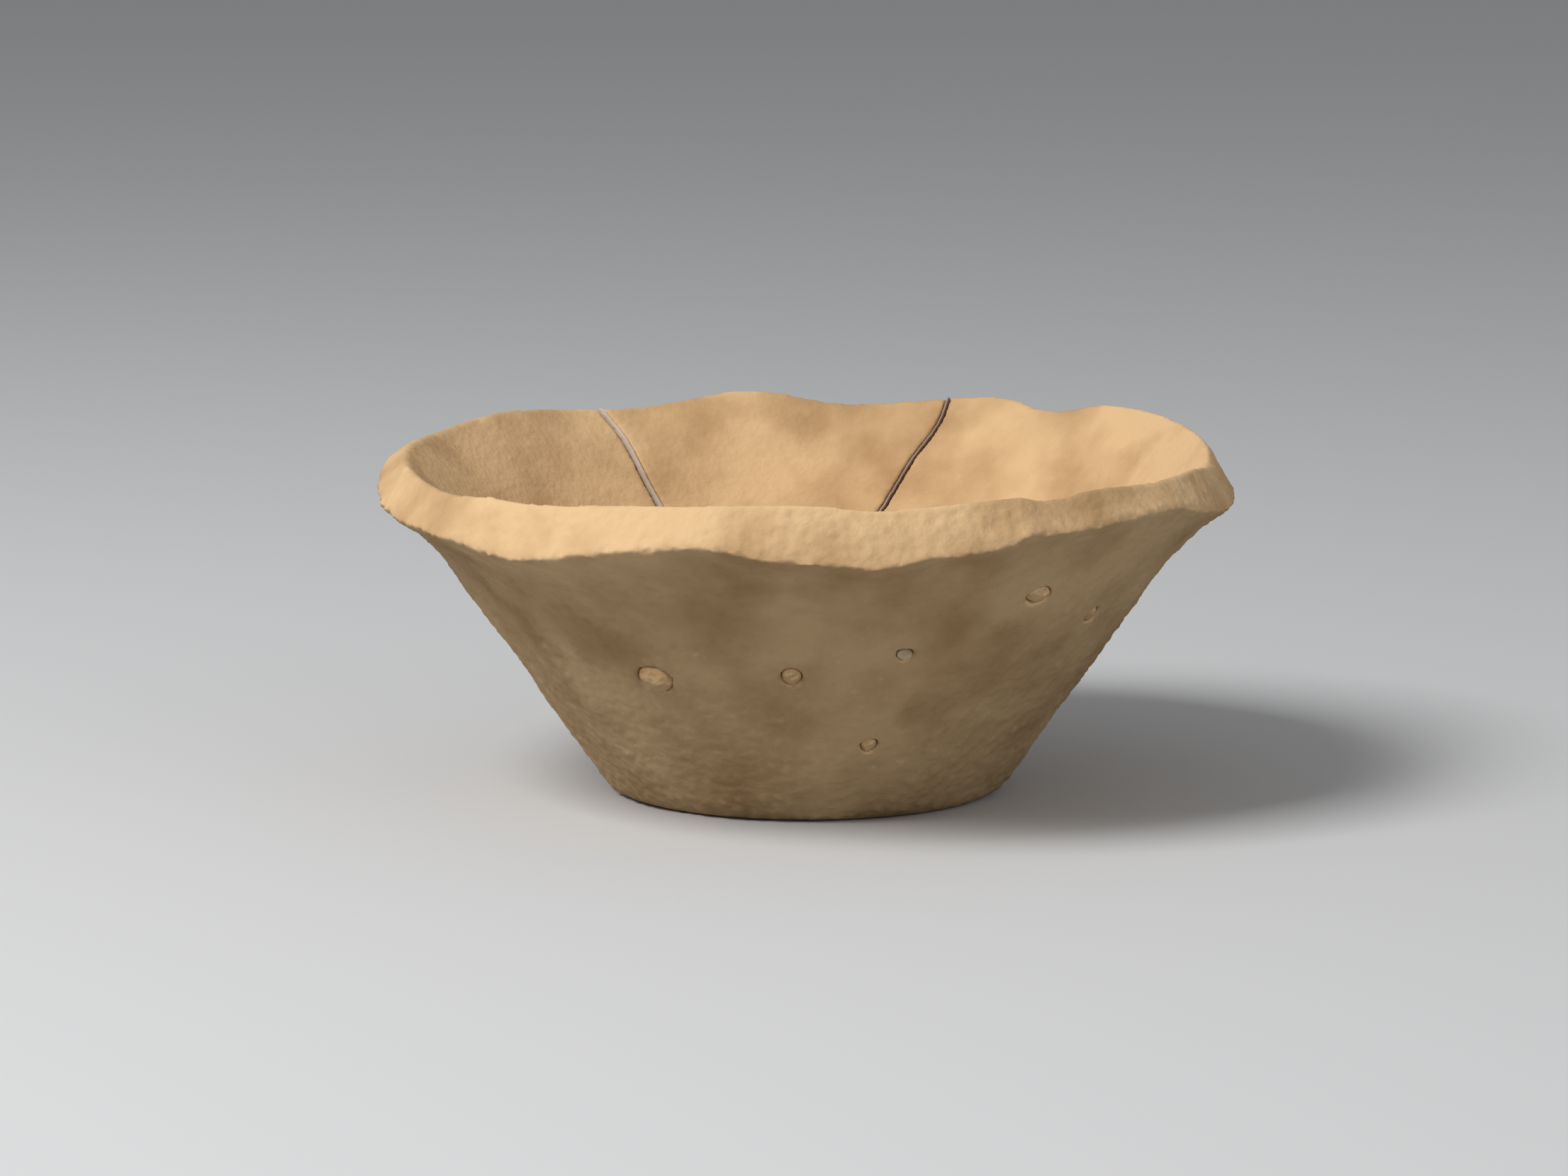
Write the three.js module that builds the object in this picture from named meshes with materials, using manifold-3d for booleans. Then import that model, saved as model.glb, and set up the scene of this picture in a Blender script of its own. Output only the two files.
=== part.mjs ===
// A hand-pressed clay bowl with a bevelled, wavy rim, broken once and mended.
// Millimetres and degrees, +Z up. The origin is the middle of the flat base.
// Azimuth 0 is +X and grows counter-clockwise seen from above; the bowl's front is -Y.

import * as THREE from 'three';
import { mergeVertices } from 'three/addons/utils/BufferGeometryUtils.js';
import Module from 'manifold-3d';

const wasm = await Module();
wasm.setup();

// Foot, wall and floor.
const BASE_RADIUS = 43.3;
const FOOT_ROUNDING = 3;
const WALL_SLOPE = 55;
const WALL_THICKNESS = 9.5;
const FLOOR_THICKNESS = 14;
const FLOOR_CORNER = 9;

// The bevel runs from the inner lip, its high side, down and out to the edge.
const LIP_RADIUS = 88.5;
const LIP_HEIGHT = 76;
const BEVEL_WIDTH = 6.5;
const BEVEL_DROP = 10;
const EDGE_ROUNDING = 1.2;

// The wall bends outward over its last stretch below the edge and below the lip.
const EDGE_FLARE = 15;
const EDGE_DEPTH = 5;
const LIP_FLARE = 14;

// The mend: two glued breaks, filled, that run down the back wall and meet.
const LEFT_FILL_THICKNESS = 0.8;
const RIGHT_FILL_THICKNESS = 0.4;
const SEAT_CLEARANCE = 0.3;

const COLUMNS = 96;
const BREAK_STEPS = 56;

// Where the rim rises and sinks: azimuth, lip above LIP_HEIGHT, edge above its usual place.
const RIM_STATIONS = [
  [0, 0.5, 0],
  [15, 2.3, 1.5],
  [33, 3.6, 3],
  [40, 3.1, 3],
  [46, 1.1, 1.5],
  [51, 0, 1],
  [57, 2.4, 2],
  [66, 1.9, 2],
  [74, 0.4, 0.5],
  [84, -0.6, 0],
  [90, 0.6, 0.5],
  [95, 2.4, 1.5],
  [101, 2.6, 2],
  [108, 1.1, 1.5],
  [117, -0.4, 0.5],
  [133, 1, 1.5],
  [142, 1.7, 3],
  [150, 1, 5],
  [160, -0.2, 6],
  [178, -0.2, 4],
  [186, -1.5, 1],
  [196, -2.3, -1.5],
  [212, -3.6, -2.3],
  [220, -2.7, -3.5],
  [229, -2.7, -5],
  [236, -2.3, -3.8],
  [241, -1.5, -2.2],
  [249, -1, -0.6],
  [257, -0.5, 0.5],
  [264, 0, -1.5],
  [271, -0.1, -2.7],
  [279, -1.4, -3.7],
  [286, -0.9, -2],
  [297, -0.1, 0],
  [300, 0.1, 2.2],
  [305, -1.5, 1.5],
  [312, 0, 2.3],
  [326, -0.7, 3.6],
  [333, -0.4, 1.5],
  [341, -0.4, -0.5],
  [352, -1.5, -1],
  [360, 0.5, 0],
];

// Broad hollows that fingers and drying left in the outer wall.
const HOLLOWS = [
  { at: 205, height: 40, spread: 9, tall: 12, depth: 1.4 },
  { at: 262, height: 30, spread: 16, tall: 8, depth: 0.9 },
  { at: 281, height: 47, spread: 15, tall: 11, depth: 1.5 },
  { at: 305, height: 24, spread: 18, tall: 7, depth: 0.8 },
  { at: 248, height: 13, spread: 10, tall: 6, depth: 0.8 },
  { at: 20, height: 34, spread: 16, tall: 14, depth: 1.2 },
  { at: 75, height: 44, spread: 13, tall: 12, depth: 1.3 },
  { at: 128, height: 36, spread: 15, tall: 13, depth: 1.4 },
  { at: 165, height: 24, spread: 12, tall: 10, depth: 1 },
];

// Grit and clay pellets that stand in their own seats in the outer wall.
const INCLUSIONS = [
  { name: 'clay_pellet_upper_right', at: 308, height: 52.4, size: [6.4, 4.4, 4.2], proud: 0.6, color: 0x97794f },
  { name: 'grit_disc_right', at: 325.2, height: 45.1, size: [4.4, 4.6, 3.4], proud: 0.3, color: 0x8a6c48 },
  { name: 'clay_lump_left', at: 241.2, height: 33.6, size: [8.4, 7, 6], proud: 1.8, color: 0xa5875a },
  { name: 'grit_nub_front', at: 267.4, height: 35.4, size: [4.4, 4.4, 4], proud: 0.8, color: 0x8f7350 },
  { name: 'pale_pebble_front', at: 287.2, height: 40.3, size: [3.6, 2.9, 2.8], proud: 0.6, color: 0xbba888 },
  { name: 'nodule_foot', at: 284, height: 18.4, size: [3.8, 3.6, 3.4], proud: 0.4, color: 0xab8c60 },
];

// The outline of the mended sherd on the back wall: azimuth, height.
const BREAK_OUTLINE = [
  [123.5, 92],
  [123.2, 76],
  [121.2, 67],
  [120.3, 58],
  [119, 52],
  [116, 40],
  [112, 28],
  [105, 21],
  [97, 19],
  [89, 22],
  [83, 30],
  [78.5, 42],
  [73.6, 54],
  [71.2, 61],
  [68.2, 69],
  [67.8, 76],
  [67.4, 92],
];

const slope = THREE.MathUtils.degToRad(WALL_SLOPE);
const wallRadius = height => BASE_RADIUS + height / Math.tan(slope);
const innerOffset = WALL_THICKNESS / Math.sin(slope);

// A smooth closed curve through the rim stations.
const rimCurve = new THREE.CubicInterpolant(
  RIM_STATIONS.map(station => station[0]),
  RIM_STATIONS.flatMap(station => station.slice(1)),
  2,
);
rimCurve.settings_ = { endingStart: THREE.WrapAroundEnding, endingEnd: THREE.WrapAroundEnding };

function turned(azimuth) {
  return ((azimuth % 360) + 360) % 360;
}

function toward(from, to, distance) {
  return to.clone().sub(from).setLength(distance).add(from);
}

// The corners of the half section at one azimuth, as (radius, height).
function corners(azimuth) {
  const [lipRise, edgeRise] = rimCurve.evaluate(turned(azimuth));
  const lip = new THREE.Vector2(LIP_RADIUS, LIP_HEIGHT + lipRise);
  const edge = new THREE.Vector2(LIP_RADIUS + BEVEL_WIDTH, LIP_HEIGHT - BEVEL_DROP + edgeRise);
  const flareStart = edge.y - EDGE_FLARE;
  const innerStart = lip.y - LIP_FLARE;
  return {
    lip,
    edge,
    foot: new THREE.Vector2(BASE_RADIUS, 0),
    flare: new THREE.Vector2(wallRadius(flareStart), flareStart),
    neck: new THREE.Vector2(wallRadius(edge.y - EDGE_DEPTH), edge.y - EDGE_DEPTH),
    innerFlare: new THREE.Vector2(wallRadius(innerStart) - innerOffset, innerStart),
    floor: new THREE.Vector2(wallRadius(FLOOR_THICKNESS) - innerOffset, FLOOR_THICKNESS),
  };
}

// The half section as runs of points, from the middle of the base round to the middle of the floor.
function section(azimuth) {
  const { lip, edge, foot, flare, neck, innerFlare, floor } = corners(azimuth);
  const baseMiddle = new THREE.Vector2(0, 0);
  const floorMiddle = new THREE.Vector2(0, FLOOR_THICKNESS);
  const footIn = toward(foot, baseMiddle, FOOT_ROUNDING);
  const footUp = toward(foot, flare, FOOT_ROUNDING);
  const underEdge = toward(edge, neck, EDGE_ROUNDING);
  const overEdge = toward(edge, lip, EDGE_ROUNDING);
  const outLip = toward(lip, edge, EDGE_ROUNDING);
  const inLip = toward(lip, innerFlare, EDGE_ROUNDING);
  const floorUp = toward(floor, innerFlare, FLOOR_CORNER);
  const floorIn = toward(floor, floorMiddle, FLOOR_CORNER);
  const line = (a, b) => new THREE.LineCurve(a, b);
  const bend = (a, corner, b) => new THREE.QuadraticBezierCurve(a, corner, b);
  const innerBow = innerFlare.clone().lerp(inLip, 0.5);
  innerBow.x -= 0.6;
  const runs = [
    [line(baseMiddle, footIn), 2],
    [bend(footIn, foot, footUp), 3],
    [line(footUp, flare), 7],
    [bend(flare, neck, underEdge), 4],
    [bend(underEdge, edge, overEdge), 2],
    [line(overEdge, outLip), 3],
    [bend(outLip, lip, inLip), 2],
    [bend(inLip, innerBow, innerFlare), 3],
    [line(innerFlare, floorUp), 5],
    [bend(floorUp, floor, floorIn), 3],
    [line(floorIn, floorMiddle), 2],
  ];
  const points = [baseMiddle];
  for (const [curve, steps] of runs) {
    points.push(...curve.getPoints(steps).slice(1));
  }
  const wallStart = 1 + runs[0][1] + runs[1][1];
  const wallEnd = wallStart + runs[2][1] + runs[3][1] - 1;
  for (let i = wallStart; i < wallEnd; i++) {
    const depth = hollowDepth(azimuth, points[i]);
    points[i] = new THREE.Vector2(
      points[i].x - depth * Math.sin(slope),
      points[i].y + depth * Math.cos(slope),
    );
  }
  return { points, wallStart, wallEnd };
}

// How far the outer wall is pressed in at one place.
function hollowDepth(azimuth, point) {
  let depth = 0;
  for (const hollow of HOLLOWS) {
    const turn = turned(azimuth - hollow.at + 180) - 180;
    const along = THREE.MathUtils.degToRad(turn) * point.x / hollow.spread;
    const up = (point.y - hollow.height) / hollow.tall;
    depth += hollow.depth * Math.exp(-along * along - up * up);
  }
  return depth;
}

function around(radius, azimuth, height) {
  const angle = THREE.MathUtils.degToRad(azimuth);
  return new THREE.Vector3(radius * Math.cos(angle), radius * Math.sin(angle), height);
}

// The whole bowl before it broke: the half sections joined round the axis.
function bowlGeometry() {
  const rings = [];
  for (let column = 0; column < COLUMNS; column++) {
    const azimuth = 360 * column / COLUMNS;
    rings.push(section(azimuth).points.map(point => around(point.x, azimuth, point.y)));
  }
  const rows = rings[0].length;
  const inner = rows - 2;
  const vertices = rings.flatMap(ring => ring.slice(1, -1));
  const baseMiddle = vertices.push(new THREE.Vector3(0, 0, 0)) - 1;
  const floorMiddle = vertices.push(new THREE.Vector3(0, 0, FLOOR_THICKNESS)) - 1;
  const faces = [];
  for (let column = 0; column < COLUMNS; column++) {
    const here = column * inner;
    const next = ((column + 1) % COLUMNS) * inner;
    faces.push(baseMiddle, next, here);
    for (let row = 0; row < inner - 1; row++) {
      faces.push(here + row, next + row, next + row + 1);
      faces.push(here + row, next + row + 1, here + row + 1);
    }
    faces.push(floorMiddle, here + inner - 1, next + inner - 1);
  }
  const geometry = new THREE.BufferGeometry().setFromPoints(vertices);
  geometry.setIndex(faces);
  return geometry;
}

function toSolid(geometry) {
  const bare = geometry.clone();
  bare.deleteAttribute('normal');
  bare.deleteAttribute('uv');
  const merged = mergeVertices(bare, 1e-4);
  return new wasm.Manifold(new wasm.Mesh({
    numProp: 3,
    vertProperties: new Float32Array(merged.attributes.position.array),
    triVerts: new Uint32Array(merged.index.array),
  }));
}

function toGeometry(solid) {
  const mesh = solid.getMesh();
  const geometry = new THREE.BufferGeometry();
  geometry.setAttribute('position', new THREE.BufferAttribute(mesh.vertProperties, 3));
  geometry.setIndex(new THREE.BufferAttribute(mesh.triVerts, 1));
  geometry.computeVertexNormals();
  return geometry;
}

// Where an inclusion sits: the place on the outer wall, and the way out of the wall.
function wallPlace(azimuth, height) {
  const { points, wallStart, wallEnd } = section(azimuth);
  let i = wallStart;
  while (i < wallEnd - 1 && points[i + 1].y < height) {
    i++;
  }
  const share = (height - points[i].y) / (points[i + 1].y - points[i].y);
  const radius = THREE.MathUtils.lerp(points[i].x, points[i + 1].x, share);
  const outward = around(Math.sin(slope), azimuth, -Math.cos(slope));
  return { point: around(radius, azimuth, height), outward };
}

// A rounded grain whose long side lies along the wall.
function grainGeometry({ at, height, size, proud }, clearance) {
  const { point, outward } = wallPlace(at, height);
  const geometry = new THREE.SphereGeometry(1, 14, 9);
  const [length, tall, depth] = size.map(side => side / 2 + clearance);
  const along = around(1, at + 90, 0);
  const up = new THREE.Vector3().crossVectors(outward, along);
  const centre = point.addScaledVector(outward, proud - size[2] / 2);
  const basis = new THREE.Matrix4().makeBasis(along, up, outward);
  geometry.applyMatrix4(new THREE.Matrix4().makeScale(length, tall, depth));
  geometry.applyMatrix4(basis);
  geometry.translate(centre.x, centre.y, centre.z);
  return geometry;
}

// A block that holds everything inside the sherd's outline, grown sideways by the given amounts.
function breakCutter(leftShift, rightShift) {
  const reachIn = WALL_THICKNESS + EDGE_DEPTH;
  const reachOut = reachIn + BEVEL_WIDTH + EDGE_FLARE;
  const path = new THREE.CatmullRomCurve3(
    BREAK_OUTLINE.map(([azimuth, height]) => new THREE.Vector3(azimuth, height, 0)),
  );
  const onWall = share => {
    const { x: azimuth, y: height } = path.getPoint(share);
    return around(wallRadius(height) - innerOffset / 2, azimuth, height);
  };
  const flat = [];
  const vertices = [];
  for (let i = 0; i <= BREAK_STEPS; i++) {
    const share = i / BREAK_STEPS;
    const { x: azimuth, y: height } = path.getPoint(share);
    const outward = around(Math.sin(slope), azimuth, -Math.cos(slope));
    const before = onWall(Math.max(share - 0.01, 0));
    const after = onWall(Math.min(share + 0.01, 1));
    const side = new THREE.Vector3().crossVectors(outward, after.sub(before)).normalize();
    const shift = THREE.MathUtils.lerp(leftShift, rightShift, THREE.MathUtils.smoothstep(share, 0.4, 0.6));
    const place = onWall(share).addScaledVector(side, shift);
    vertices.push(place.clone().addScaledVector(outward, -reachIn));
    vertices.push(place.clone().addScaledVector(outward, reachOut));
    flat.push(new THREE.Vector2(azimuth, height));
  }
  const count = flat.length;
  const faces = [];
  const outlineTurn = Math.sign(THREE.ShapeUtils.area(flat));
  for (const triangle of THREE.ShapeUtils.triangulateShape(flat, [])) {
    const turn = Math.sign(THREE.ShapeUtils.area(triangle.map(index => flat[index])));
    const [a, b, c] = turn === outlineTurn ? triangle : triangle.reverse();
    faces.push(2 * a, 2 * b, 2 * c);
    faces.push(2 * a + 1, 2 * c + 1, 2 * b + 1);
  }
  for (let i = 0; i < count; i++) {
    const j = (i + 1) % count;
    faces.push(2 * i, 2 * i + 1, 2 * j);
    faces.push(2 * j, 2 * i + 1, 2 * j + 1);
  }
  const geometry = new THREE.BufferGeometry().setFromPoints(vertices);
  geometry.setIndex(faces);
  const solid = toSolid(geometry);
  if (solid.volume() > 0) {
    return solid;
  }
  geometry.setIndex(faces.reverse());
  return toSolid(geometry);
}

const bowl = new THREE.Group();

function addPiece(name, geometry, color) {
  const material = new THREE.MeshStandardMaterial({ color, roughness: 0.95, metalness: 0 });
  const mesh = new THREE.Mesh(geometry, material);
  mesh.name = name;
  bowl.add(mesh);
}

// The clay, with a seat for each inclusion.
let clay = toSolid(bowlGeometry());
for (const inclusion of INCLUSIONS) {
  clay = clay.subtract(toSolid(grainGeometry(inclusion, SEAT_CLEARANCE)));
}

// The break opens as wide as the fill and its clearance on both sides.
const leftHalf = LEFT_FILL_THICKNESS / 2;
const rightHalf = RIGHT_FILL_THICKNESS / 2;
const openBreak = breakCutter(leftHalf + SEAT_CLEARANCE, rightHalf + SEAT_CLEARANCE);
const sherdBlock = breakCutter(-leftHalf - SEAT_CLEARANCE, -rightHalf - SEAT_CLEARANCE);
const fillBlock = breakCutter(leftHalf, rightHalf).subtract(breakCutter(-leftHalf, -rightHalf));
addPiece('bowl_body', toGeometry(clay.subtract(openBreak)), 0xb7966a);
addPiece('back_sherd', toGeometry(clay.intersect(sherdBlock)), 0xc9a877);

// Each break has its own fill. The two end face to face at the lowest place of the break.
const lowest = BREAK_OUTLINE.reduce((low, place) => (place[1] < low[1] ? place : low));
const parting = around(1, lowest[0] - 90, 0).toArray();
const backward = parting.map(part => -part);
const fill = clay.intersect(fillBlock);
addPiece('join_fill_right', toGeometry(fill.trimByPlane(parting, SEAT_CLEARANCE / 2)), 0xb9a697);
addPiece('join_fill_left', toGeometry(fill.trimByPlane(backward, SEAT_CLEARANCE / 2)), 0xd8cbb8);

for (const inclusion of INCLUSIONS) {
  addPiece(inclusion.name, grainGeometry(inclusion, 0), inclusion.color);
}

export default bowl;
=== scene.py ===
import bmesh
import bpy
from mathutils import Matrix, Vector


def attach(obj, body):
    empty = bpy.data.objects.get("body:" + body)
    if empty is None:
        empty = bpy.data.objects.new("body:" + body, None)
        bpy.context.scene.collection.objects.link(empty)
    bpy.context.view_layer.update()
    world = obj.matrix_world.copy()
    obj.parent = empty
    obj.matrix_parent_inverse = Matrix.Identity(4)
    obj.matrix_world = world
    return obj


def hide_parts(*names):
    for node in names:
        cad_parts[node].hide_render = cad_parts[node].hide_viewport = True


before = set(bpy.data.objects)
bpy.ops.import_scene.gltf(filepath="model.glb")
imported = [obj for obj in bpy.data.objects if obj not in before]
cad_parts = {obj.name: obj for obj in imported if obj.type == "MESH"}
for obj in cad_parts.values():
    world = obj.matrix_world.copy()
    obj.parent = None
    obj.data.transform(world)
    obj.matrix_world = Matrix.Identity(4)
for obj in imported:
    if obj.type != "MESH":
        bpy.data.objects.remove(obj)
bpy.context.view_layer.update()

# The body is the main piece of the bowl: coarse clay mixed with chaff, pressed by hand and fired.
# Its outside was left lumpy and crazed, and the bevelled rim and the inside were wiped smoother.
MM = 0.001
SAME_PLACE = 1e-6
BODY_VOXEL = 0.7 * MM
WEAR_ROUNDS = 6
WALL_FACES_OUT = 0.82
WALL_FACES_DOWN = 0.57
ROUGH_FROM = 0.1
ROUGH_SPAN = 0.5
WIPED_SHARE = 0.22
BASE_SHARE = 0.15
BASE_BAND = 0.6 * MM
CRAZE_CONTRAST = 1.2

# Layers of relief: texture, size across, detail, depth, and the value that leaves the clay in place.
RELIEF = (
    ("lumps", "CLOUDS", 14 * MM, 2, 1.2 * MM, 0.5),
    ("crumbs", "CLOUDS", 2.2 * MM, 3, 1.1 * MM, 0.5),
    ("craze", "VORONOI", 3 * MM, None, 0.5 * MM, 0.4),
)


def relief_texture(name, kind, size, detail):
    texture = bpy.data.textures.new(name, kind)
    texture.noise_scale = size
    if kind == "CLOUDS":
        texture.noise_depth = detail
    else:
        # The second nearest point less the nearest one leaves seams between crazed plates.
        texture.weight_1 = -1
        texture.weight_2 = 1
        texture.distance_metric = "DISTANCE"
        texture.noise_intensity = CRAZE_CONTRAST
    return texture


def weigh_outside(piece, name):
    """Marks how rough the clay is: fully on the outer wall, less on the rim, inside and base."""
    group = piece.vertex_groups.new(name=name)
    for vertex in piece.data.vertices:
        place = vertex.co
        outward = Vector((place.x, place.y, 0)).normalized() * WALL_FACES_OUT
        outward.z = -WALL_FACES_DOWN
        facing = (vertex.normal.dot(outward) - ROUGH_FROM) / ROUGH_SPAN
        roughness = WIPED_SHARE + (1 - WIPED_SHARE) * min(max(facing, 0), 1)
        if place.z < BASE_BAND:
            roughness *= BASE_SHARE
        group.add([vertex.index], roughness, "REPLACE")


def apply_modifiers(piece):
    graph = bpy.context.evaluated_depsgraph_get()
    finished = bpy.data.meshes.new_from_object(piece.evaluated_get(graph))
    piece.modifiers.clear()
    piece.data = finished


def fine_clay(node, name, voxel):
    """A copy of a CAD node with an even, dense surface, worn soft and then roughened."""
    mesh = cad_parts[node].data.copy()
    piece = bpy.data.objects.new(name, mesh)
    bpy.context.collection.objects.link(piece)
    builder = bmesh.new()
    builder.from_mesh(mesh)
    bmesh.ops.remove_doubles(builder, verts=builder.verts, dist=SAME_PLACE)
    builder.to_mesh(mesh)
    builder.free()
    remesh = piece.modifiers.new("even_clay", "REMESH")
    remesh.mode = "VOXEL"
    remesh.voxel_size = voxel
    relax = piece.modifiers.new("worn_soft", "SMOOTH")
    relax.iterations = WEAR_ROUNDS
    apply_modifiers(piece)
    weigh_outside(piece, "outside")
    for label, kind, size, detail, depth, middle in RELIEF:
        push = piece.modifiers.new(label, "DISPLACE")
        push.texture = relief_texture(label, kind, size, detail)
        push.texture_coords = "LOCAL"
        push.strength = depth
        push.mid_level = middle
        push.vertex_group = "outside"
    apply_modifiers(piece)
    piece.data.shade_smooth()
    piece.data.materials.clear()
    return piece


BLOTCH_SCALE = 45
BLOTCH_DETAIL = 5
BLOTCH_SHADE = (0.66, 0.6, 0.54, 1)
BLOTCH_EDGES = (0.32, 0.6)
GRAIN_SCALE = 700
GRAIN_DETAIL = 4


def grain_group():
    """Blotches over the clay's own colour, and the height of its fine grain."""
    group = bpy.data.node_groups.new("clay_grain", "ShaderNodeTree")
    group.interface.new_socket("Clay", in_out="INPUT", socket_type="NodeSocketColor")
    group.interface.new_socket("Colour", in_out="OUTPUT", socket_type="NodeSocketColor")
    group.interface.new_socket("Height", in_out="OUTPUT", socket_type="NodeSocketFloat")
    nodes = group.nodes
    links = group.links
    start = nodes.new("NodeGroupInput")
    end = nodes.new("NodeGroupOutput")
    place = nodes.new("ShaderNodeTexCoord")
    blotch = nodes.new("ShaderNodeTexNoise")
    blotch.inputs["Scale"].default_value = BLOTCH_SCALE
    blotch.inputs["Detail"].default_value = BLOTCH_DETAIL
    fine = nodes.new("ShaderNodeTexNoise")
    fine.inputs["Scale"].default_value = GRAIN_SCALE
    fine.inputs["Detail"].default_value = GRAIN_DETAIL
    for texture in (blotch, fine):
        links.new(place.outputs["Object"], texture.inputs["Vector"])
    ramp = nodes.new("ShaderNodeValToRGB")
    shaded, clean = ramp.color_ramp.elements
    shaded.position, clean.position = BLOTCH_EDGES
    shaded.color = BLOTCH_SHADE
    clean.color = (1, 1, 1, 1)
    links.new(blotch.outputs["Fac"], ramp.inputs["Fac"])
    stain = nodes.new("ShaderNodeMix")
    stain.data_type = "RGBA"
    stain.blend_type = "MULTIPLY"
    stain.inputs[0].default_value = 1
    links.new(start.outputs["Clay"], stain.inputs[6])
    links.new(ramp.outputs["Color"], stain.inputs[7])
    links.new(stain.outputs[2], end.inputs["Colour"])
    links.new(fine.outputs["Fac"], end.inputs["Height"])
    return group


clay_grain = grain_group()
CLAY_ROUGHNESS = 0.92
CLAY_SPECULAR = 0.2
GRAIN_HEIGHT = 0.4 * MM
SHADE_PAINTED_BELOW = -0.35
PALE_ABOVE = 0.15


def clay_material(name, pale, downward_shade, bump):
    """Matte grained clay: the pale colour where it faces up, and a deeper colour where it faces
    down, which is painted shade.
    """
    material = bpy.data.materials.new(name)
    material.use_nodes = True
    nodes = material.node_tree.nodes
    links = material.node_tree.links
    shader = nodes["Principled BSDF"]
    shader.inputs["Roughness"].default_value = CLAY_ROUGHNESS
    shader.inputs["Specular IOR Level"].default_value = CLAY_SPECULAR
    grained = nodes.new("ShaderNodeGroup")
    grained.node_tree = clay_grain
    if pale == downward_shade:
        grained.inputs["Clay"].default_value = (*pale, 1)
    else:
        # Painted shade: the colour deepens as the surface turns to face down.
        geometry = nodes.new("ShaderNodeNewGeometry")
        split = nodes.new("ShaderNodeSeparateXYZ")
        links.new(geometry.outputs["Normal"], split.inputs[0])
        rise = nodes.new("ShaderNodeMapRange")
        rise.inputs["From Min"].default_value = SHADE_PAINTED_BELOW
        rise.inputs["From Max"].default_value = PALE_ABOVE
        links.new(split.outputs["Z"], rise.inputs["Value"])
        painted_shade_mix = nodes.new("ShaderNodeMix")
        painted_shade_mix.data_type = "RGBA"
        painted_shade_mix.inputs[6].default_value = (*downward_shade, 1)
        painted_shade_mix.inputs[7].default_value = (*pale, 1)
        links.new(rise.outputs["Result"], painted_shade_mix.inputs[0])
        links.new(painted_shade_mix.outputs[2], grained.inputs["Clay"])
    links.new(grained.outputs["Colour"], shader.inputs["Base Color"])
    relief = nodes.new("ShaderNodeBump")
    relief.inputs["Strength"].default_value = bump
    relief.inputs["Distance"].default_value = GRAIN_HEIGHT
    links.new(grained.outputs["Height"], relief.inputs["Height"])
    links.new(relief.outputs["Normal"], shader.inputs["Normal"])
    return material


PALE_CLAY = (0.70, 0.47, 0.25)
# The second clay colour is painted shade, laid on the faces that turn down.
SHADE_PAINTED_CLAY = (0.42, 0.29, 0.155)
CLAY_BUMP = 0.6
clay = clay_material("fired_clay", PALE_CLAY, SHADE_PAINTED_CLAY, CLAY_BUMP)

body = fine_clay("bowl_body", "body_of_clay", BODY_VOXEL)
body.data.materials.append(clay)
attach(body, "root")
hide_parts("bowl_body")

# The sherd is the piece of the back wall and rim that broke away and was glued back in.
# It is the same clay as the body, formed and fired with it.
sherd = fine_clay("back_sherd", "sherd_of_clay", BODY_VOXEL)
sherd.data.materials.append(clay)
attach(sherd, "root")
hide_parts("back_sherd")

# The fills lie in the two joins of the mend: whitish plaster in the left one, and a thinner line
# of grey glue in the right one. Each follows the break down from the rim and is trimmed flush.
PLASTER = (0.66, 0.55, 0.44)
GREY_GLUE = (0.42, 0.33, 0.28)
FILL_BUMP = 0.3
for node, tint, name in (
    ("join_fill_left", PLASTER, "plaster_fill"),
    ("join_fill_right", GREY_GLUE, "adhesive_fill"),
):
    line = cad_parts[node]
    line.data.materials.clear()
    line.data.materials.append(clay_material(name, tint, tint, FILL_BUMP))

# The grains are clay pellets, grit and one pale pebble that were in the clay when it was pressed.
# Each sits in its own seat in the outer wall and stands out of it a little.
GRAIN_VOXEL = 0.25 * MM
PEBBLE = (0.5, 0.4, 0.27)
PEBBLE_BUMP = 0.3
# The pellets carry the same painted shade on the faces that turn down.
pellet_clay = clay_material("pellet_clay", PALE_CLAY, SHADE_PAINTED_CLAY, CLAY_BUMP)
pebble_stone = clay_material("pebble_stone", PEBBLE, PEBBLE, PEBBLE_BUMP)
for node, slot, material in (
    ("clay_pellet_upper_right", "clay_grit", pellet_clay),
    ("grit_disc_right", "clay_grit", pellet_clay),
    ("clay_lump_left", "clay_grit", pellet_clay),
    ("grit_nub_front", "clay_grit", pellet_clay),
    ("pale_pebble_front", "pale_pebble", pebble_stone),
    ("nodule_foot", "clay_grit", pellet_clay),
):
    grain = fine_clay(node, node + "_grain", GRAIN_VOXEL)
    grain.data.materials.append(material)
    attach(grain, "root")
    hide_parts(node)

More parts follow.
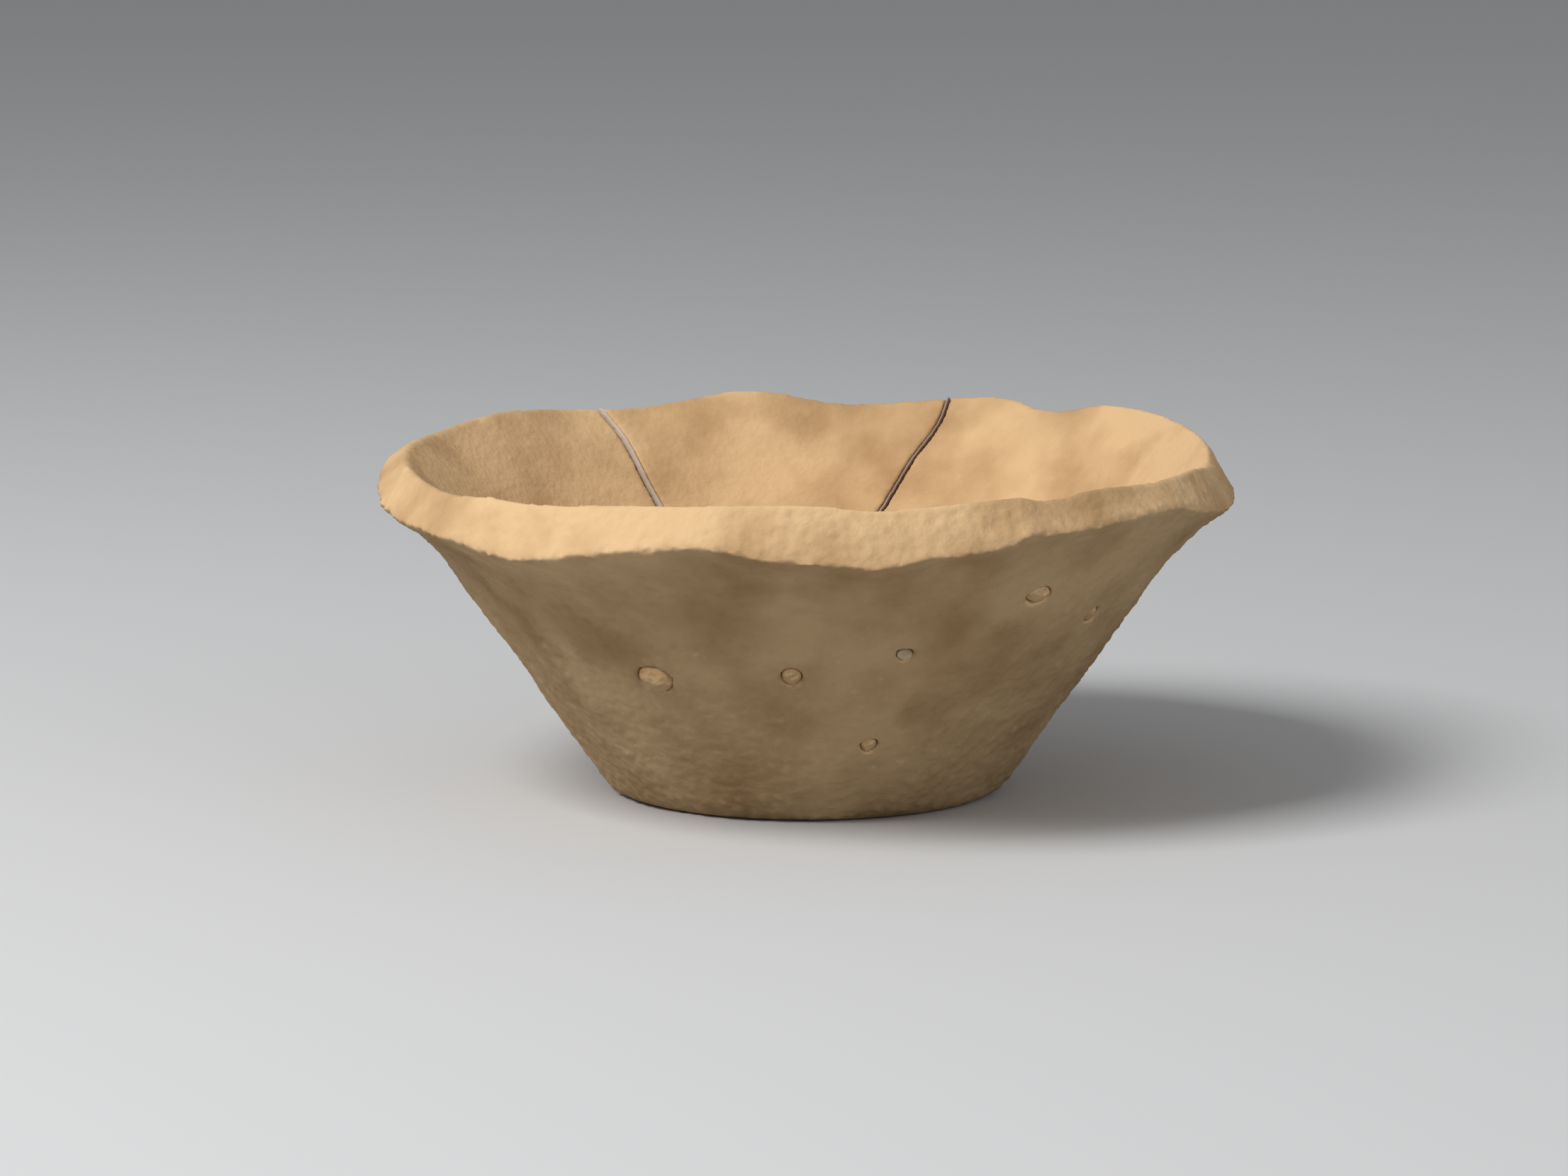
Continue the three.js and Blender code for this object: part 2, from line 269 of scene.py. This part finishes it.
# The floor is a plain pale sheet that the bowl stands on.
FLOOR_HALF = 4.0
FLOOR_GREY = (0.62, 0.62, 0.62, 1)
FLOOR_ROUGHNESS = 0.9
floor_mesh = bpy.data.meshes.new("floor")
floor_mesh.from_pydata(
    [
        (-FLOOR_HALF, -FLOOR_HALF, 0),
        (FLOOR_HALF, -FLOOR_HALF, 0),
        (FLOOR_HALF, FLOOR_HALF, 0),
        (-FLOOR_HALF, FLOOR_HALF, 0),
    ],
    [],
    [(0, 1, 2, 3)],
)
floor = bpy.data.objects.new("floor", floor_mesh)
bpy.context.collection.objects.link(floor)
floor_paint = bpy.data.materials.new("floor_paint")
floor_paint.use_nodes = True
floor_shader = floor_paint.node_tree.nodes["Principled BSDF"]
floor_shader.inputs["Base Color"].default_value = FLOOR_GREY
floor_shader.inputs["Roughness"].default_value = FLOOR_ROUGHNESS
floor_mesh.materials.append(floor_paint)

# The light is a large soft lamp at the upper left, a weak one at the front right and a pale room.
ROOM_COLOUR = (0.8, 0.82, 0.85, 1)
ROOM_STRENGTH = 0.35
LIT_PLACE = Vector((0, 0, 0.05))
world = bpy.data.worlds.new("pale_room")
bpy.context.scene.world = world
world.use_nodes = True
sky = world.node_tree.nodes["Background"]
sky.inputs["Color"].default_value = ROOM_COLOUR
sky.inputs["Strength"].default_value = ROOM_STRENGTH
for name, place, size, power in (
    ("key", (-0.9, -0.7, 1.3), 0.7, 26),
    ("fill", (1.3, -1.2, 0.7), 1.2, 4),
):
    lamp = bpy.data.lights.new(name, "AREA")
    lamp.size = size
    lamp.energy = power
    holder = bpy.data.objects.new(name, lamp)
    holder.location = place
    holder.rotation_euler = (LIT_PLACE - Vector(place)).to_track_quat("-Z", "Y").to_euler()
    bpy.context.collection.objects.link(holder)

# The camera looks slightly down on the front of the bowl through a long lens.
FRAME_WIDTH = 2212
FOCAL_PIXELS = 8051
SENSOR = 36.0
CAMERA_PLACE = (0, -1.25, 0.238)
CAMERA_AIM = Vector((-0.0049, 0, 0.0444))
lens = bpy.data.cameras.new("camera")
lens.sensor_width = SENSOR
lens.lens = SENSOR * FOCAL_PIXELS / FRAME_WIDTH
camera = bpy.data.objects.new("camera", lens)
camera.location = CAMERA_PLACE
camera.rotation_euler = (CAMERA_AIM - camera.location).to_track_quat("-Z", "Y").to_euler()
bpy.context.collection.objects.link(camera)
bpy.context.scene.camera = camera
bpy.context.scene.view_settings.view_transform = "Standard"
